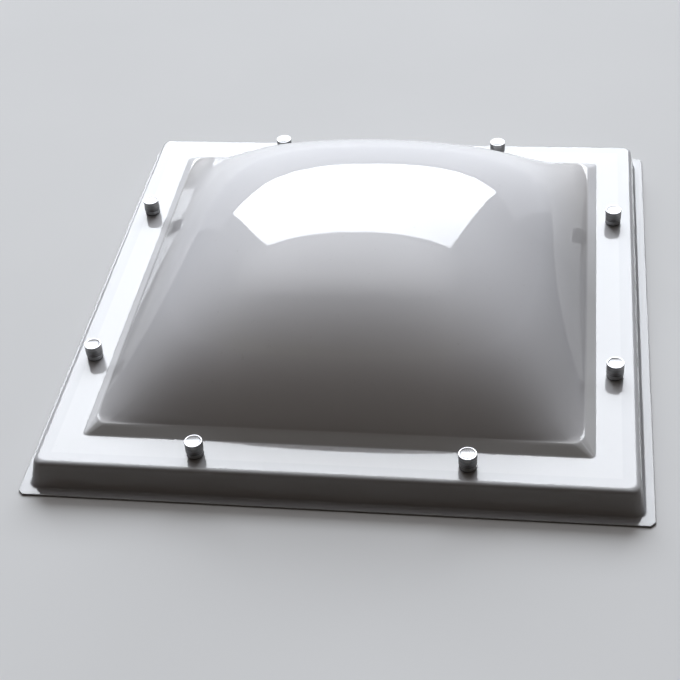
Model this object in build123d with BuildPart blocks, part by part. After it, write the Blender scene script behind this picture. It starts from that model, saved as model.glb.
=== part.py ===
from build123d import *
import os
from math import atan2, degrees, sqrt, tan

# Square double-skinned dome rooflight, lying on the lip of its skirt.
# Origin at the middle of the underside, +Z up, +Y to the back, +X to the right, all sizes in mm.

# Plan sizes, counted outwards from the foot of the dome
dome_base_size = 718.0
flange_width = 58.5
skirt_spread = 9.0
lip_reach = 13.5
screw_from_dome = 27.0
screw_offset = 189.0
inner_flange_margin = 9.0
tape_from_dome = 7.0
seal_from_dome = 8.0

# Outer skin: flange, skirt and lip
rim_height = 43.5
rim_corner = 13.0
rim_edge_radius = 7.0
lip_thickness = 3.0
lip_chamfer = 7.0
lip_root_radius = 2.5
outer_sheet = 4.0

# Outer skin: dome
dome_base_corner = 7.0
band_width = 14.0
band_height = 12.0
crease_corner = 18.0
dome_rise = 164.0
crown_roundness = 0.42
outer_crown_sheet = 3.0
crown_clearance = 20.0

# Inner skin
inner_flange_corner = 10.0
inner_sheet = 3.0
inner_crown_sheet = 2.4
air_gap_side = 12.0
air_gap_crown = 16.0

# Foam strips
tape_width = 15.0
tape_thickness = 2.0
seal_width = 18.0
seal_thickness = 8.0

# Fasteners
skin_hole = 8.0
screw_length = 40.0
shank_diameter = 3.6
thread_diameter = 5.0
thread_length = 26.0
tip_length = 6.0
tip_diameter = 0.6
head_diameter = 10.0
head_height = 3.6
head_edge = 0.8
drive_depth = 2.0
drive_width = 5.5
drive_slot = 1.2
washer_diameter = 23.6
washer_thickness = 2.0
base_diameter = 24.4
base_height = 6.5
base_floor = 3.0
hub_height = 9.0
hub_edge = 0.8
cap_diameter = 25.6
cap_height = 17.0
cap_wall = 1.6
cap_top = 2.0
cap_edge = 0.6
cap_recess_margin = 2.6
cap_recess_depth = 0.5
fit_clearance = 0.2
head_clearance = 1.0

# Each ring of the outer skin stands a named distance outside the one before.
rim_size = dome_base_size + 2 * flange_width
skirt_foot_size = rim_size + 2 * skirt_spread
lip_size = skirt_foot_size + 2 * lip_reach

# What lies on or under the flange keeps its distance from the foot of the dome.
screw_line = dome_base_size / 2 + screw_from_dome
inner_flange_size = 2 * (screw_line + inner_flange_margin)
tape_centre = dome_base_size / 2 + tape_from_dome
seal_centre = dome_base_size / 2 + seal_from_dome

# The two flanges lie over each other, with tape between them and the kerb seal underneath.
outer_flange_underside = rim_height - outer_sheet
inner_flange_top = outer_flange_underside - tape_thickness
inner_flange_underside = inner_flange_top - inner_sheet

# Two fasteners stand on each side of the flange.
fastener_places = {
    "front": [(-screw_offset, -screw_line), (screw_offset, -screw_line)],
    "right": [(screw_line, -screw_offset), (screw_line, screw_offset)],
    "back": [(screw_offset, screw_line), (-screw_offset, screw_line)],
    "left": [(-screw_line, screw_offset), (-screw_line, -screw_offset)],
}
all_places = [place for pair in fastener_places.values() for place in pair]

os.makedirs("parts", exist_ok=True)


def save(piece, name):
    """Label a finished piece and write it as a STEP file."""
    piece.label = name
    export_step(piece, "parts/" + name + ".step")


def drafted_block(foot_size, top_size, height, corner, edge_radius):
    """A square block that narrows upwards, with rounded corners and a rounded top edge."""
    draft = degrees(atan2((foot_size - top_size) / 2, height))
    with BuildPart() as block:
        with BuildSketch():
            Rectangle(foot_size, foot_size)
        extrude(amount=height, taper=draft)
        fillet(block.edges().filter_by(Plane.XY, reverse=True), corner)
        fillet(block.faces().sort_by(Axis.Z)[-1].edges(), edge_radius)
    return block.part


def pillow(size, floor, rise):
    """The crown of a blown sheet: highest in the middle, flat in the corners, closed by a flat floor."""
    # Poles of the profile 1 - r u^2 - (1 - r) u^4, for u from -1 at one edge to 1 at the other
    swell = [0, 2 - crown_roundness, 4 * crown_roundness / 3, 2 - crown_roundness, 0]
    across = [size * (step / 4 - 0.5) for step in range(5)]
    surface = Face.make_bezier_surface(
        [
            [Vector(x, y, floor + rise * swell_x * swell_y) for y, swell_y in zip(across, swell)]
            for x, swell_x in zip(across, swell)
        ]
    )
    base = Face(Wire(surface.edges()))
    return Solid(Shell([surface, base]))


def blown_form(base_size, base_corner, base_z, crease_size, corner, crease_z, rise):
    """The solid under one face of a dome: the sloped band, then the crown inside its rounded crease."""
    crown = pillow(crease_size, crease_z, rise)
    with BuildPart() as top:
        with BuildSketch(Plane.XY.offset(crease_z)):
            RectangleRounded(crease_size, crease_size, corner)
        extrude(amount=rise + crown_clearance)
        add(crown, mode=Mode.INTERSECT)
    with BuildPart() as form:
        with BuildSketch(Plane.XY.offset(base_z)):
            RectangleRounded(base_size, base_size, base_corner)
        with BuildSketch(Plane.XY.offset(crease_z)):
            RectangleRounded(crease_size, crease_size, corner)
        loft(ruled=True)
        add(top.part)
    return form.part


def dome_faces(base_size, flange_top, rise, sheet, crown_sheet):
    """Two solids: what lies under a dome's outer face, and the hollow under its inner face."""
    crease_size = base_size - 2 * band_width
    crease_z = flange_top + band_height
    outside = blown_form(
        base_size, dome_base_corner, flange_top, crease_size, crease_corner, crease_z, rise
    )
    # The inner face stays one sheet away round the bend at the base. At the crease the sheet
    # leans at about 45 degrees, and it is thinnest at the crown.
    base_inset = sheet * tan(atan2(band_height, band_width) / 2)
    crease_inset = sheet / sqrt(2)
    hollow = blown_form(
        base_size - 2 * base_inset,
        dome_base_corner - base_inset,
        flange_top - sheet,
        crease_size - 2 * crease_inset,
        crease_corner - crease_inset,
        crease_z - crease_inset,
        rise + crease_inset - crown_sheet,
    )
    return outside, hollow


# Outer skin: one sheet with a dome, a flange, a drafted skirt and an out-turned lip
skirt_slope = (skirt_foot_size - rim_size) / 2 / rim_height
skirt_wall = outer_sheet * sqrt(1 + skirt_slope**2)
skirt_outside = drafted_block(skirt_foot_size, rim_size, rim_height, rim_corner, rim_edge_radius)
skirt_hollow = drafted_block(
    skirt_foot_size - 2 * skirt_wall,
    rim_size + 2 * skirt_slope * outer_sheet - 2 * skirt_wall,
    outer_flange_underside,
    rim_corner - outer_sheet,
    rim_edge_radius - outer_sheet,
)
outer_outside, outer_hollow = dome_faces(
    dome_base_size, rim_height, dome_rise, outer_sheet, outer_crown_sheet
)
with BuildPart() as outer_skin:
    with BuildSketch():
        Rectangle(lip_size, lip_size)
    extrude(amount=lip_thickness)
    chamfer(outer_skin.edges().filter_by(Axis.Z), lip_chamfer)
    add(skirt_outside)
    lip_face = outer_skin.faces().filter_by(Plane.XY).group_by(Axis.Z)[1][0]
    fillet(lip_face.inner_wires()[0].edges(), lip_root_radius)
    add(outer_outside)
    add(skirt_hollow, mode=Mode.SUBTRACT)
    add(outer_hollow, mode=Mode.SUBTRACT)
    with BuildSketch(Plane.XY.offset(rim_height)):
        with Locations(*all_places):
            Circle(skin_hole / 2)
    extrude(amount=-outer_sheet, mode=Mode.SUBTRACT)
save(outer_skin.part, "outer_skin")

# Inner skin: a second blown dome that nests under the first and ends in a flat flange
inner_base_size = dome_base_size - 2 * air_gap_side
inner_rise = rim_height - inner_flange_top + dome_rise - outer_crown_sheet - air_gap_crown
inner_outside, inner_hollow = dome_faces(
    inner_base_size, inner_flange_top, inner_rise, inner_sheet, inner_crown_sheet
)
with BuildPart() as inner_skin:
    with BuildSketch(Plane.XY.offset(inner_flange_underside)):
        RectangleRounded(inner_flange_size, inner_flange_size, inner_flange_corner)
    extrude(amount=inner_sheet)
    add(inner_outside)
    add(inner_hollow, mode=Mode.SUBTRACT)
    with BuildSketch(Plane.XY.offset(inner_flange_top)):
        with Locations(*all_places):
            Circle(skin_hole / 2)
    extrude(amount=-inner_sheet, mode=Mode.SUBTRACT)
save(inner_skin.part, "inner_skin")


def foam_strips(name, centre, width, thickness, top):
    """Four strips round the dome: two of full length, and two cut to fit between them."""
    full_length = 2 * centre + width
    cut_length = 2 * centre - width
    strips = {
        "front": (0, -centre, full_length, width),
        "back": (0, centre, full_length, width),
        "left": (-centre, 0, width, cut_length),
        "right": (centre, 0, width, cut_length),
    }
    for side, (x, y, size_x, size_y) in strips.items():
        with BuildPart() as strip:
            with BuildSketch(Plane((x, y, top))):
                Rectangle(size_x, size_y)
            extrude(amount=-thickness)
        save(strip.part, name + "_" + side)


# Spacer tape between the flanges, and the foam seal that beds the skylight on its kerb
foam_strips("spacer_tape", tape_centre, tape_width, tape_thickness, outer_flange_underside)
foam_strips("kerb_seal", seal_centre, seal_width, seal_thickness, inner_flange_underside)

# Fasteners: washer, clear base, screw and snap cap, stacked on the flange
washer_top = rim_height + washer_thickness
base_top = washer_top + base_height
hub_top = base_top + hub_height
head_seat = washer_top + base_floor
screw_end = head_seat - screw_length
tip_top = screw_end + tip_length
cap_crown = base_top + cap_height
cap_bore = cap_diameter - 2 * cap_wall
screw_hole = thread_diameter + 2 * fit_clearance


def discs(diameter, level, height, places, mode=Mode.ADD):
    """A round disc at each place, from a level up, or down where the height is negative."""
    with BuildSketch(Plane.XY.offset(level)) as rounds:
        with Locations(*places):
            Circle(diameter / 2)
    extrude(rounds.sketch, amount=height, mode=mode)


for side, places in fastener_places.items():
    with BuildPart() as washers:
        discs(washer_diameter, rim_height, washer_thickness, places)
        discs(screw_hole, rim_height, washer_thickness, places, Mode.SUBTRACT)
    save(washers.part, "washers_" + side)

    with BuildPart() as bases:
        discs(base_diameter, washer_top, base_height, places)
        discs(cap_bore - 2 * fit_clearance, base_top, hub_height, places)
        chamfer(bases.edges().group_by(Axis.Z)[-1], hub_edge)
        with Locations(*[(x, y, hub_top) for x, y in places]):
            CounterBoreHole(
                screw_hole / 2,
                head_diameter / 2 + head_clearance,
                hub_top - head_seat,
            )
    save(bases.part, "bases_" + side)

    with BuildPart() as screws:
        discs(head_diameter, head_seat, head_height, places)
        chamfer(screws.edges().group_by(Axis.Z)[-1], head_edge)
        with BuildSketch(Plane.XY.offset(head_seat + head_height)):
            with Locations(*places):
                Rectangle(drive_width, drive_slot)
                Rectangle(drive_slot, drive_width)
        extrude(amount=-drive_depth, mode=Mode.SUBTRACT)
        discs(shank_diameter, head_seat, thread_length - screw_length, places)
        discs(thread_diameter, screw_end + thread_length, tip_length - thread_length, places)
        with Locations(*[(x, y, tip_top) for x, y in places]):
            Cone(
                tip_diameter / 2,
                thread_diameter / 2,
                tip_length,
                align=(Align.CENTER, Align.CENTER, Align.MAX),
            )
    save(screws.part, "screws_" + side)

    with BuildPart() as caps:
        discs(cap_diameter, base_top, cap_height, places)
        chamfer(caps.edges().group_by(Axis.Z)[-1], cap_edge)
        discs(cap_diameter - 2 * cap_recess_margin, cap_crown, -cap_recess_depth, places, Mode.SUBTRACT)
        discs(cap_bore, base_top, cap_height - cap_top, places, Mode.SUBTRACT)
    save(caps.part, "caps_" + side)
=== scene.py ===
from math import atan2, cos, exp, pi, radians, sin, sqrt, tan

import bmesh
import bpy
from mathutils import Matrix, Vector


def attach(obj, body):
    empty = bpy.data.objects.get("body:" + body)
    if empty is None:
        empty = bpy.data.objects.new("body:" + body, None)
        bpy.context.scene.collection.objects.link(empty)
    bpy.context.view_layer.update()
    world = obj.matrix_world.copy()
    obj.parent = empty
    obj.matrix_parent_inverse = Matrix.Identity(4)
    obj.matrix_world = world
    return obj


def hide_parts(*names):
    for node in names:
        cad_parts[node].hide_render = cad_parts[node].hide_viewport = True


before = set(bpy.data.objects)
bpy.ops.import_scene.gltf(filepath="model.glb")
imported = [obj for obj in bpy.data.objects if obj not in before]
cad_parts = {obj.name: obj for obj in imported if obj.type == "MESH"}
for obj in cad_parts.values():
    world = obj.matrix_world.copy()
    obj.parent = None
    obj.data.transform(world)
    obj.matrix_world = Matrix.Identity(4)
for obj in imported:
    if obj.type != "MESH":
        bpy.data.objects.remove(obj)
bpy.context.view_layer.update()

# Sizes in millimetres, as in the CAD part. Meshes are scaled to metres when they are made.
MM = 0.001

# Outer skin
RIM_HALF = 417.5
RIM_HEIGHT = 43.5
RIM_CORNER = 13.0
RIM_EDGE = 7.0
SKIRT_FOOT_HALF = 426.5
LIP_HALF = 440.0
LIP_THICKNESS = 3.0
LIP_CHAMFER = 7.0
LIP_ROOT = 2.5
OUTER_SHEET = 4.0
OUTER_CROWN = 3.0
SKIN_HOLE = 8.0

# The form of a dome. The numbers are the outer one's.
DOME_BASE_HALF = 359.0
DOME_BASE_CORNER = 7.0
BAND_WIDTH = 14.0
BAND_HEIGHT = 12.0
CREASE_CORNER = 18.0
DOME_RISE = 164.0
CROWN_ROUNDNESS = 0.42

# Inner skin
INNER_FLANGE_HALF = 395.0
INNER_FLANGE_CORNER = 10.0
INNER_SHEET = 3.0
INNER_CROWN = 2.4
AIR_GAP_SIDE = 12.0
AIR_GAP_CROWN = 16.0
TAPE_THICKNESS = 2.0
INNER_FLANGE_TOP = RIM_HEIGHT - OUTER_SHEET - TAPE_THICKNESS
INNER_FLANGE_UNDER = INNER_FLANGE_TOP - INNER_SHEET

# Fasteners, with heights above the ground
SCREW_LINE = 386.0
SCREW_OFFSET = 189.0
WASHER_TOP = 45.5
HEAD_SEAT = 48.5
BASE_TOP = 52.0
HUB_TOP = 61.0
CAP_ROOF = 67.0
CAP_CROWN = 69.0
SCREW_END = 8.5
SCREW_HOLE = 2.7
CAP_RECESS_EDGE = 10.6
CAP_RECESS_FLOOR = 9.6

# The bends at a dome's foot, on its upper and its lower face
FOOT_BEND = 0.6
HOLLOW_FOOT_BEND = 1.0

# The share of the crown's height under which it levels out towards its corners
CORNER_LEVELLING = 0.012

# The lift of the flange's inner edge
FLANGE_CAMBER = 0.35

# The share of a fillet's radius at which the drawn rounding sets in
BEND_REACH = 0.9

# The rounding of the lip's edges and of the inner flange's
LIP_SOFTNESS = 0.7
INNER_EDGE_SOFTNESS = 0.6

# How finely the sheets are divided, and how far past a rounding a ring keeps the flat beside it flat
SIDE_STEPS = 48
CORNER_STEPS = 12
CROWN_STEPS = 64
CROWN_SPREAD = radians(80)
HOLD = 0.4

FASTENERS = {
    "front": [(-SCREW_OFFSET, -SCREW_LINE), (SCREW_OFFSET, -SCREW_LINE)],
    "right": [(SCREW_LINE, -SCREW_OFFSET), (SCREW_LINE, SCREW_OFFSET)],
    "back": [(SCREW_OFFSET, SCREW_LINE), (-SCREW_OFFSET, SCREW_LINE)],
    "left": [(-SCREW_LINE, SCREW_OFFSET), (-SCREW_LINE, -SCREW_OFFSET)],
}


# Square rings and the sheets made of them


def outline(half, corner, cut=False):
    """Points round a square with rounded corners, or with straight cut corners."""
    points = []
    flat = half - corner
    for quarter in range(4):
        turn = quarter * pi / 2
        side = [(half, -flat + 2 * flat * step / SIDE_STEPS) for step in range(SIDE_STEPS)]
        bend = []
        for step in range(CORNER_STEPS):
            share = step / CORNER_STEPS
            if cut:
                bend.append((half - corner * share, flat + corner * share))
            else:
                angle = share * pi / 2
                bend.append((flat + corner * cos(angle), flat + corner * sin(angle)))
        for x, y in side + bend:
            points.append((x * cos(turn) - y * sin(turn), x * sin(turn) + y * cos(turn)))
    return points


def ring(half, corner, z, cut=False):
    """A level ring of points round a square."""
    return [Vector((x, y, z)) for x, y in outline(half, corner, cut)]


def beyond(rim, bend):
    """A ring a little further from the bend, so that the flat beside a rounding is shaded flat."""
    return [point + (point - corner).normalized() * HOLD for point, corner in zip(rim, bend)]


def rounded(before, bend, after, steps):
    """Rings that round the bend between two rings."""
    rings = [beyond(before, bend)]
    for step in range(steps + 1):
        t = step / steps
        rings.append(
            [a * (1 - t) ** 2 + b * (2 * t * (1 - t)) + c * t**2 for a, b, c in zip(before, bend, after)]
        )
    rings.append(beyond(after, bend))
    return rings


def between(first, second, share):
    """A ring at a share of the way from one ring to another."""
    return [a.lerp(b, share) for a, b in zip(first, second)]


def swell(u):
    """Height of the crown's profile, one in the middle and nought at u = 1."""
    return 1 - CROWN_ROUNDNESS * u**2 - (1 - CROWN_ROUNDNESS) * u**4


def crown_ring(share, half, corner, floor, rise):
    """One ring of the crown, at a share of the way from its middle to its crease."""
    size = half * share
    bend = size * (corner / half + (1 - corner / half) * (1 - share) ** 1.5)
    points = []
    for x, y in outline(size, min(bend, size)):
        lift = swell(x / half) * swell(y / half)
        points.append(Vector((x, y, floor + rise * lift * (1 - exp(-lift / CORNER_LEVELLING)))))
    return points


def dome_rings(base_half, base_corner, base_z, crease_half, corner, crease_z, rise, bend):
    """Rings from the middle of a dome's face, over its crease and down its foot band to the flange."""
    crease_bend_end = 0.25
    foot_bend_start = 0.85
    rings = []
    for step in range(1, CROWN_STEPS):
        share = sin(CROWN_SPREAD * step / CROWN_STEPS) / sin(CROWN_SPREAD)
        rings.append(crown_ring(share, crease_half, corner, crease_z, rise))
    crease = crown_ring(1.0, crease_half, corner, crease_z, rise)
    foot = ring(base_half, base_corner, base_z)
    flange = ring(base_half + 2 * bend, base_corner + 2 * bend, base_z)
    rings += rounded(rings.pop(), crease, between(crease, foot, crease_bend_end), steps=5)
    rings += rounded(between(crease, foot, foot_bend_start), foot, flange, steps=5)
    return rings


def hollow_sizes(sheet, crown_sheet, base_half, flange_top, rise):
    """Sizes of a dome's inner face, one sheet inside its outer face."""
    base_inset = sheet * tan(atan2(BAND_HEIGHT, BAND_WIDTH) / 2)
    crease_inset = sheet / sqrt(2)
    return (
        base_half - base_inset,
        DOME_BASE_CORNER - base_inset,
        flange_top - sheet,
        base_half - BAND_WIDTH - crease_inset,
        CREASE_CORNER - crease_inset,
        flange_top + BAND_HEIGHT - crease_inset,
        rise + crease_inset - crown_sheet,
    )


def sheet_mesh(name, top, under):
    """A closed sheet from the rings of its upper face and of its lower face, both from the middle out."""
    mesh = bmesh.new()
    rings = top + list(reversed(under))
    rows = [[mesh.verts.new(point * MM) for point in points] for points in rings]
    count = len(rows[0])
    for lower, upper in zip(rows, rows[1:]):
        for i in range(count):
            j = (i + 1) % count
            mesh.faces.new((lower[i], upper[i], upper[j], lower[j]))
    for row, face in ((rows[0], top[0]), (rows[-1], under[0])):
        middle = mesh.verts.new(sum(face, Vector()) / count * MM)
        for i in range(count):
            j = (i + 1) % count
            mesh.faces.new((middle, row[i], row[j]))
    bmesh.ops.recalc_face_normals(mesh, faces=mesh.faces)
    return finish_mesh(name, mesh)


def finish_mesh(name, mesh, sharp=40):
    """Turn a bmesh into a smooth-shaded object in the scene, with edges past a number of degrees sharp."""
    data = bpy.data.meshes.new(name)
    mesh.to_mesh(data)
    mesh.free()
    data.shade_smooth()
    data.set_sharp_from_angle(angle=radians(sharp))
    piece = bpy.data.objects.new(name, data)
    bpy.context.scene.collection.objects.link(piece)
    return piece


def cut_away(piece, cutter, use_self=False):
    """Take a cutter's form out of a piece, and delete the cutter."""
    cut = piece.modifiers.new("cut", "BOOLEAN")
    cut.operation = "DIFFERENCE"
    cut.solver = "EXACT"
    cut.use_self = use_self
    cut.object = cutter
    graph = bpy.context.evaluated_depsgraph_get()
    data = bpy.data.meshes.new_from_object(piece.evaluated_get(graph))
    piece.modifiers.clear()
    piece.data = data
    bpy.data.objects.remove(cutter)


def drill(piece, level, depth):
    """Cut the eight screw holes through a flange."""
    mesh = bmesh.new()
    for pair in FASTENERS.values():
        for x, y in pair:
            bmesh.ops.create_cone(
                mesh,
                cap_ends=True,
                segments=40,
                radius1=SKIN_HOLE / 2 * MM,
                radius2=SKIN_HOLE / 2 * MM,
                depth=depth * MM,
                matrix=Matrix.Translation(Vector((x, y, level)) * MM),
            )
    cut_away(piece, finish_mesh("cutter", mesh))
    piece.data.set_sharp_from_angle(angle=radians(40))


def outer_sheet():
    """The outer skin: dome, flange, drafted skirt and out-turned lip in one sheet."""
    slope = (SKIRT_FOOT_HALF - RIM_HALF) / RIM_HEIGHT
    wall = OUTER_SHEET * sqrt(1 + slope**2)
    under_z = RIM_HEIGHT - OUTER_SHEET

    def skirt_half(z, inset=0.0):
        return RIM_HALF + slope * (RIM_HEIGHT - z) - inset

    # The upper face, from the dome over the flange and down the skirt to the lip
    top = dome_rings(
        DOME_BASE_HALF,
        DOME_BASE_CORNER,
        RIM_HEIGHT + FLANGE_CAMBER,
        DOME_BASE_HALF - BAND_WIDTH,
        CREASE_CORNER,
        RIM_HEIGHT + BAND_HEIGHT,
        DOME_RISE,
        FOOT_BEND,
    )
    top.append(ring(RIM_HALF - 2 * RIM_EDGE, RIM_CORNER, RIM_HEIGHT))
    drop = RIM_HEIGHT - BEND_REACH * RIM_EDGE
    top += rounded(
        ring(RIM_HALF - BEND_REACH * RIM_EDGE, BEND_REACH * RIM_CORNER, RIM_HEIGHT),
        ring(RIM_HALF, RIM_CORNER, RIM_HEIGHT),
        ring(skirt_half(drop), RIM_CORNER, drop),
        steps=8,
    )
    root_z = LIP_THICKNESS + LIP_ROOT
    for share in (0.25, 0.5, 0.75):
        z = drop + (root_z - drop) * share
        top.append(ring(skirt_half(z), RIM_CORNER, z))
    top += rounded(
        ring(skirt_half(root_z), RIM_CORNER, root_z),
        ring(skirt_half(LIP_THICKNESS), RIM_CORNER, LIP_THICKNESS),
        ring(skirt_half(LIP_THICKNESS) + LIP_ROOT, RIM_CORNER + LIP_ROOT, LIP_THICKNESS),
        steps=6,
    )
    top += rounded(
        ring(LIP_HALF - LIP_SOFTNESS, LIP_CHAMFER, LIP_THICKNESS, cut=True),
        ring(LIP_HALF, LIP_CHAMFER, LIP_THICKNESS, cut=True),
        ring(LIP_HALF, LIP_CHAMFER, LIP_THICKNESS - LIP_SOFTNESS, cut=True),
        steps=3,
    )
    top += rounded(
        ring(LIP_HALF, LIP_CHAMFER, LIP_SOFTNESS, cut=True),
        ring(LIP_HALF, LIP_CHAMFER, 0, cut=True),
        ring(LIP_HALF - LIP_SOFTNESS, LIP_CHAMFER, 0, cut=True),
        steps=3,
    )

    # The lower face, from the hollow of the dome under the flange and down the skirt to the ground
    hollow = hollow_sizes(OUTER_SHEET, OUTER_CROWN, DOME_BASE_HALF, RIM_HEIGHT, DOME_RISE)
    under = dome_rings(*hollow, HOLLOW_FOOT_BEND)
    bend = RIM_EDGE - OUTER_SHEET
    inner_corner = RIM_CORNER - OUTER_SHEET
    rim_in = skirt_half(under_z, wall)
    under.append(ring(rim_in - 2 * bend, inner_corner, under_z))
    drop = under_z - BEND_REACH * bend
    under += rounded(
        ring(rim_in - BEND_REACH * bend, inner_corner, under_z),
        ring(rim_in, inner_corner, under_z),
        ring(skirt_half(drop, wall), inner_corner, drop),
        steps=5,
    )
    for z in (24.0, 12.0, 0.8):
        under.append(ring(skirt_half(z, wall), inner_corner, z))
    foot_chamfer = 0.5
    under.append(ring(skirt_half(0, wall) + foot_chamfer, inner_corner, 0))
    piece = sheet_mesh("outer_skin_sheet", top, under)
    drill(piece, RIM_HEIGHT, 4 * OUTER_SHEET)
    return piece


def inner_sheet():
    """The inner skin: a smaller dome under the first one, with a flat flange."""
    base_half = DOME_BASE_HALF - AIR_GAP_SIDE
    rise = RIM_HEIGHT - INNER_FLANGE_TOP + DOME_RISE - OUTER_CROWN - AIR_GAP_CROWN
    top = dome_rings(
        base_half,
        DOME_BASE_CORNER,
        INNER_FLANGE_TOP,
        base_half - BAND_WIDTH,
        CREASE_CORNER,
        INNER_FLANGE_TOP + BAND_HEIGHT,
        rise,
        FOOT_BEND,
    )
    soft_half = INNER_FLANGE_HALF - INNER_EDGE_SOFTNESS
    top += rounded(
        ring(soft_half, INNER_FLANGE_CORNER, INNER_FLANGE_TOP),
        ring(INNER_FLANGE_HALF, INNER_FLANGE_CORNER, INNER_FLANGE_TOP),
        ring(INNER_FLANGE_HALF, INNER_FLANGE_CORNER, INNER_FLANGE_TOP - INNER_EDGE_SOFTNESS),
        steps=3,
    )
    top += rounded(
        ring(INNER_FLANGE_HALF, INNER_FLANGE_CORNER, INNER_FLANGE_UNDER + INNER_EDGE_SOFTNESS),
        ring(INNER_FLANGE_HALF, INNER_FLANGE_CORNER, INNER_FLANGE_UNDER),
        ring(soft_half, INNER_FLANGE_CORNER, INNER_FLANGE_UNDER),
        steps=3,
    )
    hollow = hollow_sizes(INNER_SHEET, INNER_CROWN, base_half, INNER_FLANGE_TOP, rise)
    under = dome_rings(*hollow, HOLLOW_FOOT_BEND)
    piece = sheet_mesh("inner_skin_sheet", top, under)
    drill(piece, INNER_FLANGE_TOP, 4 * INNER_SHEET)
    return piece


# Turned pieces


def arc(r, z, radius, start, end, steps):
    """Profile points on an arc about a point, with angles in degrees."""
    points = []
    for step in range(steps + 1):
        angle = radians(start + (end - start) * step / steps)
        points.append((r + radius * cos(angle), z + radius * sin(angle)))
    return points


def round_row(mesh, radii, z):
    """Vertices at even angles round the Z axis, with a radius for each."""
    row = []
    for i, r in enumerate(radii):
        angle = 2 * pi * i / len(radii)
        row.append(mesh.verts.new((r * cos(angle) * MM, r * sin(angle) * MM, z * MM)))
    return row


def turned(name, profile, place, closed=False):
    """A turned piece from its profile of radius and height, standing at a place on the flange."""
    segments = 72
    mesh = bmesh.new()
    rows = [round_row(mesh, [r] * segments if r else [r], z) for r, z in profile]
    pairs = list(zip(rows, rows[1:]))
    if closed:
        pairs.append((rows[-1], rows[0]))
    for a, b in pairs:
        for i in range(segments):
            j = (i + 1) % segments
            if len(a) == 1:
                mesh.faces.new((a[0], b[i], b[j]))
            elif len(b) == 1:
                mesh.faces.new((a[i], b[0], a[j]))
            else:
                mesh.faces.new((a[i], b[i], b[j], a[j]))
    bmesh.ops.recalc_face_normals(mesh, faces=mesh.faces)
    piece = finish_mesh(name, mesh, sharp=35)
    piece.location = Vector((place[0], place[1], 0)) * MM
    return piece


def cap_profile():
    """A cap: bored from below, rounded at its edges, with a shallow dished recess in its top."""
    outer, bore, mouth, edge, depth = 12.8, 11.2, 0.3, 0.8, 0.5
    recess = [(CAP_RECESS_EDGE + 0.3, 0.0), (CAP_RECESS_EDGE, 0.08), (CAP_RECESS_FLOOR + 0.3, 0.42)]
    recess += [(CAP_RECESS_FLOOR, depth), (0, depth)]
    return (
        [(0, CAP_ROOF), (bore, CAP_ROOF), (bore, BASE_TOP + mouth), (bore + mouth, BASE_TOP)]
        + arc(outer - mouth, BASE_TOP + mouth, mouth, -90, 0, steps=3)
        + arc(outer - edge, CAP_CROWN - edge, edge, 0, 90, steps=7)
        + [(r, CAP_CROWN - drop) for r, drop in recess]
    )


def base_profile():
    """A base: a round foot, a hub with a bead that the cap snaps over, and a pocket for the screw head."""
    foot, hub, pocket = 12.2, 11.0, 6.0
    soft, foot_edge, hub_edge, pocket_edge = 0.2, 0.4, 0.8, 0.3
    bead = [(0, 3.0), (0.15, 3.6), (0.15, 4.6), (0, 5.2)]
    return (
        [(SCREW_HOLE, WASHER_TOP + soft), (SCREW_HOLE + soft, WASHER_TOP)]
        + arc(foot - foot_edge, WASHER_TOP + foot_edge, foot_edge, -90, 0, steps=3)
        + arc(foot - foot_edge, BASE_TOP - foot_edge, foot_edge, 0, 90, steps=3)
        + [(hub + soft, BASE_TOP), (hub, BASE_TOP + soft)]
        + [(hub + swelling, BASE_TOP + height) for swelling, height in bead]
        + [(hub, HUB_TOP - hub_edge), (hub - hub_edge, HUB_TOP)]
        + [(pocket + pocket_edge, HUB_TOP), (pocket, HUB_TOP - pocket_edge)]
        + [(pocket, HEAD_SEAT + soft), (pocket - soft, HEAD_SEAT), (SCREW_HOLE, HEAD_SEAT)]
    )


def washer_profile():
    """A rubber washer with a bulging edge."""
    rim, bulge, soft = 11.8, 0.9, 0.3
    flat = rim - 0.6
    middle = (RIM_HEIGHT + WASHER_TOP) / 2
    return (
        [(SCREW_HOLE, RIM_HEIGHT + soft), (SCREW_HOLE + soft, RIM_HEIGHT), (flat, RIM_HEIGHT)]
        + arc(rim - bulge, middle, bulge, -60, 60, steps=6)
        + [(flat, WASHER_TOP), (SCREW_HOLE + soft, WASHER_TOP), (SCREW_HOLE, WASHER_TOP - soft)]
    )


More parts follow.
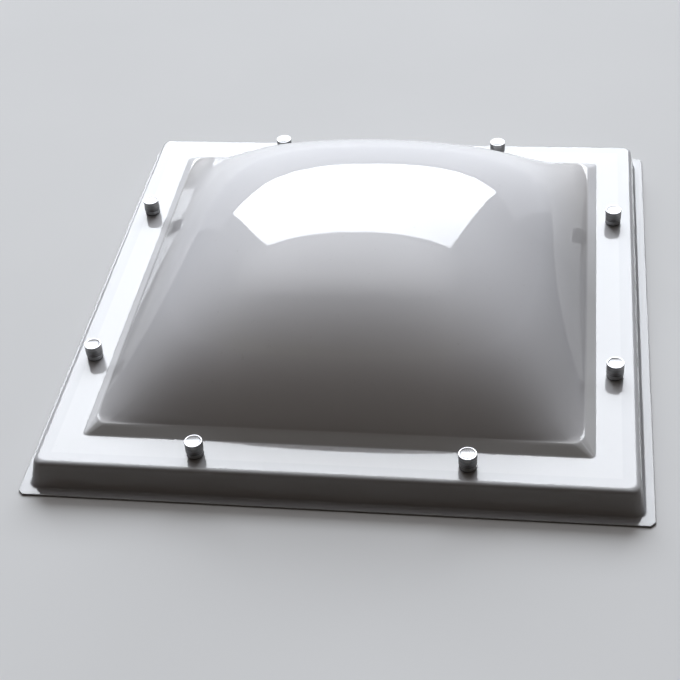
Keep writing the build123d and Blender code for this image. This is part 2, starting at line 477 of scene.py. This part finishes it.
def screw_piece(name, place):
    """A pan-head screw with a cross recess, a plain shank and a thread that runs out at its tip."""
    segments = 28
    levels_per_turn = 10
    pitch, core, crest, ridge_half = 2.2, 1.75, 2.5, 0.28
    shank, neck, head, head_side, head_bend, soft, run_out = 1.8, 2.0, 5.0, 1.6, 2.0, 0.2, 0.3
    thread_top = SCREW_END + 26.0
    tip_length, tip_start = 6.0, 0.12
    mesh = bmesh.new()
    rows = []
    levels = int((thread_top - SCREW_END) / pitch * levels_per_turn)
    for level in range(levels + 1):
        z = SCREW_END + (thread_top - SCREW_END) * level / levels
        tip = min(1.0, tip_start + (1 - tip_start) * (z - SCREW_END) / tip_length)
        fade = min(1.0, (thread_top - z) / pitch)
        radii = []
        for i in range(segments):
            phase = (z / pitch + i / segments) % 1.0
            ridge = max(0.0, 1 - abs(phase - 0.5) / ridge_half)
            radii.append((core + (crest - core) * ridge * fade) * tip)
        rows.append(round_row(mesh, radii, z))
    profile = [(shank, thread_top + run_out), (shank, HEAD_SEAT - soft), (neck, HEAD_SEAT)]
    profile += [(head - soft, HEAD_SEAT), (head, HEAD_SEAT + soft)]
    profile += arc(head - head_bend, HEAD_SEAT + head_side, head_bend, 0, 80, steps=6)
    rows += [round_row(mesh, [r] * segments, z) for r, z in profile]
    for a, b in zip(rows, rows[1:]):
        for i in range(segments):
            j = (i + 1) % segments
            mesh.faces.new((a[i], a[j], b[j], b[i]))
    mesh.faces.new(list(reversed(rows[0])))
    mesh.faces.new(rows[-1])
    bmesh.ops.recalc_face_normals(mesh, faces=mesh.faces)
    piece = finish_mesh(name, mesh, sharp=50)

    slot_length, slot_width, slot_height, slot_middle = 5.5, 1.2, 3.6, HEAD_SEAT + 3.4
    cross = bmesh.new()
    for length, width in ((slot_length, slot_width), (slot_width, slot_length)):
        bmesh.ops.create_cube(
            cross,
            size=1.0,
            matrix=Matrix.Translation(Vector((0, 0, slot_middle)) * MM)
            @ Matrix.Diagonal((length * MM, width * MM, slot_height * MM, 1)),
        )
    cut_away(piece, finish_mesh("cross", cross), use_self=True)
    piece.location = Vector((place[0], place[1], 0)) * MM
    return piece


# Materials


def rgb(r, g, b):
    """A colour with full alpha."""
    return (r, g, b, 1.0)


class Nodes:
    """A short way to write the node tree of a material or of the world."""

    def __init__(self, owner):
        owner.use_nodes = True
        self.owner = owner
        self.tree = owner.node_tree
        self.shader = self.tree.nodes.get("Principled BSDF")

    def put(self, node, key, value):
        """Link a socket to an input, or set the input's value."""
        if isinstance(value, bpy.types.NodeSocket):
            self.tree.links.new(value, node.inputs[key])
        else:
            node.inputs[key].default_value = value

    def set(self, **inputs):
        """Set inputs of the material's own shader."""
        for key, value in inputs.items():
            self.put(self.shader, key.replace("_", " "), value)

    def add(self, kind, **inputs):
        """A new node with some of its inputs set."""
        node = self.tree.nodes.new(kind)
        for key, value in inputs.items():
            self.put(node, key.replace("_", " "), value)
        return node

    def place(self):
        """The point on the piece, in metres."""
        return self.add("ShaderNodeTexCoord").outputs["Object"]

    def parts(self, vector):
        """The X, Y and Z of a vector."""
        return self.add("ShaderNodeSeparateXYZ", Vector=vector).outputs

    def stretch(self, vector, x, y, z):
        """A vector scaled along each axis."""
        return self.add("ShaderNodeMapping", Vector=vector, Scale=(x, y, z)).outputs["Vector"]

    def math(self, operation, first, second=0.0):
        """Two values, joined by an operation."""
        node = self.add("ShaderNodeMath")
        node.operation = operation
        self.put(node, 0, first)
        self.put(node, 1, second)
        return node.outputs[0]

    def noise(self, vector, scale, detail=3.0, roughness=0.5):
        """A cloudy value about one half, mostly from 0.3 to 0.7."""
        node = self.add("ShaderNodeTexNoise", Vector=vector, Scale=scale, Detail=detail, Roughness=roughness)
        return node.outputs["Fac"]

    def span(self, value, low, high, out_low=0.0, out_high=1.0):
        """A value carried from one range over to another, and held at its ends."""
        node = self.add(
            "ShaderNodeMapRange", Value=value, From_Min=low, From_Max=high, To_Min=out_low, To_Max=out_high
        )
        return node.outputs["Result"]

    def cloud(self, noise, out_low=0.0, out_high=1.0):
        """The usual range of a noise, carried over to another range."""
        return self.span(noise, 0.3, 0.7, out_low, out_high)

    def mix(self, share, first, second):
        """A colour between two others."""
        node = self.add("ShaderNodeMix")
        node.data_type = "RGBA"
        for key, value in ((0, share), (6, first), (7, second)):
            self.put(node, key, value)
        return node.outputs[2]

    def bump(self, height, distance, strength=1.0, normal=None):
        """A normal that follows a height, laid over another normal if there is one."""
        node = self.add("ShaderNodeBump", Height=height, Distance=distance, Strength=strength)
        if normal is not None:
            self.put(node, "Normal", normal)
        return node.outputs["Normal"]


def acrylic(name, flange_top, flange_colour, backed_colour, crown_colour):
    """Glossy opal sheet with dust and ripple, paler over a second sheet, with painted light and shade on its
    dome, foot band and lip.
    """
    # The lip's grey is partly painted shade.
    lip_grey_and_painted_shade = rgb(0.43, 0.43, 0.44)
    skirt_grey = rgb(0.52, 0.52, 0.53)
    # Painted light: the band's white is a painted reflection, its dull grey painted shade.
    band_painted_reflection = rgb(0.91, 0.91, 0.93)
    band_painted_shade = rgb(0.62, 0.615, 0.61)
    # Painted shade: the dome's grey foot.
    foot_painted_shade = rgb(0.62, 0.605, 0.60)
    top_grey = rgb(0.80, 0.80, 0.82)
    # Painted shade: the grey of the dome's sides.
    side_painted_shade = rgb(0.40, 0.40, 0.42)
    cloud_grey = rgb(0.62, 0.62, 0.65)
    drop_grey = rgb(0.55, 0.55, 0.54)
    dust_grey = rgb(0.5, 0.5, 0.49)

    lip = LIP_THICKNESS * MM
    flange = flange_top * MM
    crease = flange + BAND_HEIGHT * MM
    shoulder = crease + 0.5 * DOME_RISE * MM
    crown = crease + DOME_RISE * MM
    backed_edge = INNER_FLANGE_HALF * MM

    n = Nodes(bpy.data.materials.new(name))
    place = n.place()
    x, y, height = n.parts(place)
    x_off = n.math("ABSOLUTE", x)
    y_off = n.math("ABSOLUTE", y)

    # The skirt and the lip, greyer with nothing white behind them; the lip's darker grey is partly painted
    # shade, where the skirt shades it
    skirt = n.mix(n.span(height, lip + 1 * MM, lip + 4 * MM), lip_grey_and_painted_shade, skirt_grey)
    colour = n.mix(n.span(height, flange - 13 * MM, flange - 2.5 * MM), skirt, flange_colour)

    # The flange, paler over the inner skin's flange
    across = n.math("MAXIMUM", x_off, y_off)
    backed = n.span(across, backed_edge - 1.2 * MM, backed_edge + 1.2 * MM, 1.0, 0.0)
    level = n.span(height, flange + 0.5 * MM, flange + 1.5 * MM, 1.0, 0.0)
    colour = n.mix(n.math("MULTIPLY", backed, level), colour, backed_colour)

    # The foot band is thick. Its colour is painted light: white as a painted reflection on the left, at the
    # back and on the back half of its right side, and dull as painted shade at the front and on the front
    # half of its right side.
    ahead = n.math("SUBTRACT", n.math("MULTIPLY", y, -1.0), x_off)
    aside = n.math("SUBTRACT", x, y_off)
    fading = n.span(y, -20 * MM, 240 * MM, 1.0, 0.0)
    painted_shade_right = n.math("MULTIPLY", n.span(aside, -3 * MM, 3 * MM), fading)
    painted_shade = n.math("MAXIMUM", n.span(ahead, -3 * MM, 3 * MM), painted_shade_right)
    band = n.mix(painted_shade, band_painted_reflection, band_painted_shade)

    # Painted shade makes the crown greyer at its foot and at its sides away from the back; the crown is also
    # greyer towards its top.
    dome = n.mix(n.span(height, crease, shoulder), foot_painted_shade, crown_colour)
    dome = n.mix(n.span(height, shoulder, crown), dome, top_grey)
    flank_painted_shade = n.math("MULTIPLY", n.span(x_off, 150 * MM, 320 * MM), n.span(y, 0, 220 * MM, 0.5, 0.0))
    dome = n.mix(flank_painted_shade, dome, side_painted_shade)
    dome = n.mix(n.span(height, crease - 1.5 * MM, crease + 1 * MM), band, dome)
    colour = n.mix(n.span(height, flange + 0.5 * MM, flange + 1.5 * MM), colour, dome)

    # Clouds, dried drops, dust and smears
    colour = n.mix(n.cloud(n.noise(place, 2.6), 0.0, 0.10), colour, cloud_grey)
    drops = n.span(n.noise(place, 95.0, 4.0, 0.65), 0.66, 0.70, 0.0, 0.16)
    colour = n.mix(drops, colour, drop_grey)
    specks = n.span(n.noise(place, 900.0, 2.0, 0.7), 0.70, 0.78, 0.0, 0.5)
    colour = n.mix(specks, colour, dust_grey)
    smear = n.span(n.noise(n.stretch(place, 1, 3, 2), 16.0, 4.0, 0.6), 0.35, 0.75, 0.008, 0.035)
    rough = n.math("ADD", smear, n.math("MULTIPLY", n.math("ADD", specks, drops), 0.3))
    ripple = n.bump(n.noise(place, 7.0, 2.0), 1 * MM, 0.35)
    normal = n.bump(n.noise(place, 240.0, 2.0), 0.02 * MM, 0.5, ripple)

    n.set(Base_Color=colour, Roughness=rough, Normal=normal, IOR=1.49)
    n.set(Subsurface_Weight=1.0, Subsurface_Radius=(1.0, 1.0, 1.0), Subsurface_Scale=2.5 * MM)
    return n.owner


def metal(name):
    """Turned metal: rings on the top, fine lines round the side, and painted light in its colour."""
    n = Nodes(bpy.data.materials.new(name))
    place = n.place()
    x, y, height = n.parts(place)
    radius = n.math("SQRT", n.math("ADD", n.math("POWER", x, 2.0), n.math("POWER", y, 2.0)))
    line = n.add("ShaderNodeCombineXYZ", X=radius, Z=height).outputs[0]
    rings = n.noise(line, 5200.0, 2.0, 0.6)
    lines = n.noise(line, 700.0, 2.0, 0.6)
    smear = n.noise(place, 180.0)
    # Painted highlight: on the top, the ring round the recess is lighter than the disc inside it.
    disc = n.mix(n.cloud(smear), rgb(0.145, 0.145, 0.148), rgb(0.165, 0.165, 0.168))
    beyond_recess = n.span(radius, CAP_RECESS_FLOOR * MM, CAP_RECESS_EDGE * MM)
    top_painted_light = n.mix(beyond_recess, disc, rgb(0.30, 0.30, 0.31))
    # Painted shade: the side's dark grey, with its turning lines.
    painted_shade = n.mix(n.span(lines, 0.35, 0.65), rgb(0.14, 0.137, 0.133), rgb(0.28, 0.28, 0.28))
    top = n.span(height, (CAP_CROWN - 1.0) * MM, (CAP_CROWN - 0.7) * MM)
    rough = n.math("ADD", n.cloud(rings, 0.10, 0.22), n.cloud(smear, 0.0, 0.07))
    n.set(Base_Color=n.mix(top, painted_shade, top_painted_light), Metallic=1.0, Roughness=rough)
    n.set(Normal=n.bump(rings, 0.02 * MM, 0.5))
    return n.owner


def steel(name):
    """Plain steel with a little wear."""
    n = Nodes(bpy.data.materials.new(name))
    wear = n.noise(n.place(), 420.0, 4.0)
    colour = n.mix(n.span(wear, 0.35, 0.65), rgb(0.50, 0.50, 0.50), rgb(0.63, 0.62, 0.61))
    n.set(Base_Color=colour, Metallic=1.0, Roughness=n.cloud(wear, 0.2, 0.36))
    n.set(Normal=n.bump(wear, 0.03 * MM, 0.6))
    return n.owner


def clear_plastic(name):
    """Clear moulded plastic with faint flow lines."""
    n = Nodes(bpy.data.materials.new(name))
    flow = n.noise(n.stretch(n.place(), 1, 1, 0.3), 160.0, 2.0)
    colour = n.mix(n.cloud(flow), rgb(0.86, 0.88, 0.90), rgb(0.93, 0.94, 0.95))
    n.set(Base_Color=colour, Roughness=n.cloud(flow, 0.03, 0.10), IOR=1.46)
    n.set(Transmission_Weight=0.6, Normal=n.bump(flow, 0.1 * MM, 0.3))
    return n.owner


def rubber(name):
    """Black rubber with a faint grey bloom."""
    n = Nodes(bpy.data.materials.new(name))
    place = n.place()
    grain = n.noise(place, 1500.0, 4.0)
    bloom = n.noise(place, 120.0)
    colour = n.mix(n.span(bloom, 0.4, 0.8), rgb(0.010, 0.010, 0.011), rgb(0.030, 0.030, 0.032))
    n.set(Base_Color=colour, Roughness=n.cloud(bloom, 0.45, 0.65))
    n.set(Normal=n.bump(grain, 0.05 * MM, 0.6))
    return n.owner


def foam(name, dark, light):
    """Closed-cell foam: small round cells in its cut faces."""
    n = Nodes(bpy.data.materials.new(name))
    place = n.place()
    cells = n.add("ShaderNodeTexVoronoi", Vector=place, Scale=900.0).outputs["Distance"]
    blotch = n.noise(place, 60.0)
    shade = n.math("ADD", n.span(cells, 0.0, 0.7, 0.0, 0.7), n.cloud(blotch, 0.0, 0.3))
    n.set(Base_Color=n.mix(shade, dark, light), Roughness=n.cloud(blotch, 0.8, 0.95))
    n.set(Normal=n.bump(cells, 0.4 * MM, 0.8))
    return n.owner


outer_acrylic = acrylic(
    "outer_acrylic",
    RIM_HEIGHT,
    flange_colour=rgb(0.555, 0.557, 0.57),
    backed_colour=rgb(0.595, 0.595, 0.605),
    crown_colour=rgb(0.93, 0.93, 0.955),
)
inner_acrylic = acrylic(
    "inner_acrylic",
    INNER_FLANGE_TOP,
    flange_colour=rgb(0.90, 0.90, 0.905),
    backed_colour=rgb(0.90, 0.90, 0.905),
    crown_colour=rgb(0.93, 0.93, 0.94),
)
cap_metal = metal("cap_metal")
screw_steel = steel("screw_steel")
base_plastic = clear_plastic("clear_plastic")
washer_rubber = rubber("washer_rubber")
tape_foam = foam("spacer_foam", rgb(0.55, 0.55, 0.54), rgb(0.80, 0.80, 0.79))
seal_foam = foam("seal_foam", rgb(0.025, 0.025, 0.027), rgb(0.075, 0.075, 0.08))


def dress(piece, material, slot, *nodes):
    """Give a piece its material and let it stand for its CAD nodes. The slot is not used."""
    piece.data.materials.clear()
    piece.data.materials.append(material)
    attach(piece, "root")
    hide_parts(*nodes)


dress(outer_sheet(), outer_acrylic, "outer_acrylic", "outer_skin")
dress(inner_sheet(), inner_acrylic, "inner_acrylic", "inner_skin")
for side, places in FASTENERS.items():
    for number, place in enumerate(places, 1):
        tail = "_%s_%d" % (side, number)
        cap = turned("cap" + tail, cap_profile(), place)
        dress(cap, cap_metal, "cap_metal", "caps_" + side)
        base = turned("base" + tail, base_profile(), place, closed=True)
        dress(base, base_plastic, "clear_plastic", "bases_" + side)
        washer = turned("washer" + tail, washer_profile(), place, closed=True)
        dress(washer, washer_rubber, "washer_rubber", "washers_" + side)
        screw = screw_piece("screw" + tail, place)
        dress(screw, screw_steel, "screw_steel", "screws_" + side)

# The foam strips keep their CAD meshes.
for name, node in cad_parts.items():
    for head, material in (("spacer_tape", tape_foam), ("kerb_seal", seal_foam)):
        if name.startswith(head):
            node.data.materials.clear()
            node.data.materials.append(material)


# Floor, light and camera

BOX_DISTANCE = 14.0
FLOOR_HALF = 30.0


def seen_directly(n):
    """One where a ray comes from the camera, a reflection or clear plastic, and nought elsewhere."""
    path = n.add("ShaderNodeLightPath").outputs
    seen = n.math("MAXIMUM", path["Is Camera Ray"], path["Is Glossy Ray"])
    return n.math("MAXIMUM", seen, path["Is Transmission Ray"])


def softbox(name, left, right, low, high, radiance, colour):
    """A wide upright lamp behind the object, between two bearings and two heights in degrees."""
    x_left, x_right = (BOX_DISTANCE * tan(radians(bearing)) for bearing in (left, right))
    z_low, z_high = (BOX_DISTANCE * tan(radians(height)) for height in (low, high))
    lamp = bpy.data.lights.new(name, "AREA")
    lamp.shape = "RECTANGLE"
    lamp.size = x_right - x_left
    lamp.size_y = z_high - z_low
    lamp.energy = radiance * pi * lamp.size * lamp.size_y
    lamp.color = colour
    box = bpy.data.objects.new(name, lamp)
    bpy.context.scene.collection.objects.link(box)
    middle = Vector(((x_left + x_right) / 2, BOX_DISTANCE, (z_low + z_high) / 2))
    box.matrix_world = Matrix.Translation(middle) @ Matrix.Rotation(radians(-90), 4, "X")


# The floor is pale where it is seen, and gives little light to the object.
floor_mesh = bmesh.new()
bmesh.ops.create_grid(floor_mesh, x_segments=1, y_segments=1, size=FLOOR_HALF)
floor = finish_mesh("floor", floor_mesh)
n = Nodes(bpy.data.materials.new("floor"))
pale = n.mix(n.cloud(n.noise(n.place(), 1.5)), rgb(0.70, 0.70, 0.70), rgb(0.73, 0.73, 0.73))
n.set(Base_Color=n.mix(seen_directly(n), rgb(0.055, 0.048, 0.042), pale), Roughness=0.9)
n.set(Specular_IOR_Level=0.1)
floor.data.materials.append(n.owner)

# The world is dim and a little warm, with a soft glow high at the back and a pale band low at the back.
GLOW_HEIGHT = radians(61)
GLOW_TOWARDS = (-0.14, cos(GLOW_HEIGHT), sin(GLOW_HEIGHT))
world = bpy.data.worlds.new("studio")
bpy.context.scene.world = world
n = Nodes(world)
direction = n.add("ShaderNodeTexCoord").outputs["Generated"]
heading = n.parts(direction)
near_horizon = n.span(n.math("ABSOLUTE", heading["Z"]), 0.0, 0.35, 1.0, 0.0)
low_glow = n.math("MULTIPLY", near_horizon, n.span(heading["Y"], -0.3, 0.6))
towards = n.add("ShaderNodeVectorMath")
towards.operation = "DOT_PRODUCT"
n.put(towards, 0, direction)
n.put(towards, 1, GLOW_TOWARDS)
high_glow = n.span(towards.outputs["Value"], 0.90, 0.985)
sky = n.mix(low_glow, rgb(0.054, 0.045, 0.038), rgb(0.25, 0.26, 0.29))
n.put(n.tree.nodes["Background"], "Color", n.mix(high_glow, sky, rgb(1.90, 1.91, 1.95)))

# One wide softbox stands behind the object, over a dimmer one. The dome and the rim mirror both.
softbox("high_box", -36, 22.5, 20, 50.5, radiance=8.1, colour=(0.905, 0.945, 1.0))
softbox("low_box", -40, 32, 0, 20, radiance=0.4, colour=(0.92, 0.95, 1.0))

CAMERA_PLACE = (0.2998, -1.7855, 1.4493)
CAMERA_TURN = radians(10.947)
CAMERA_PITCH = radians(39.827)
CAMERA_ROLL = radians(-5.078)
camera_data = bpy.data.cameras.new("camera")
camera_data.lens = 77.22
camera_data.sensor_width = 36.0
camera = bpy.data.objects.new("camera", camera_data)
bpy.context.scene.collection.objects.link(camera)
camera.matrix_world = (
    Matrix.Translation(CAMERA_PLACE)
    @ Matrix.Rotation(CAMERA_TURN, 4, "Z")
    @ Matrix.Rotation(pi / 2 - CAMERA_PITCH, 4, "X")
    @ Matrix.Rotation(CAMERA_ROLL, 4, "Z")
)
bpy.context.scene.camera = camera

bpy.context.scene.view_settings.view_transform = "Standard"
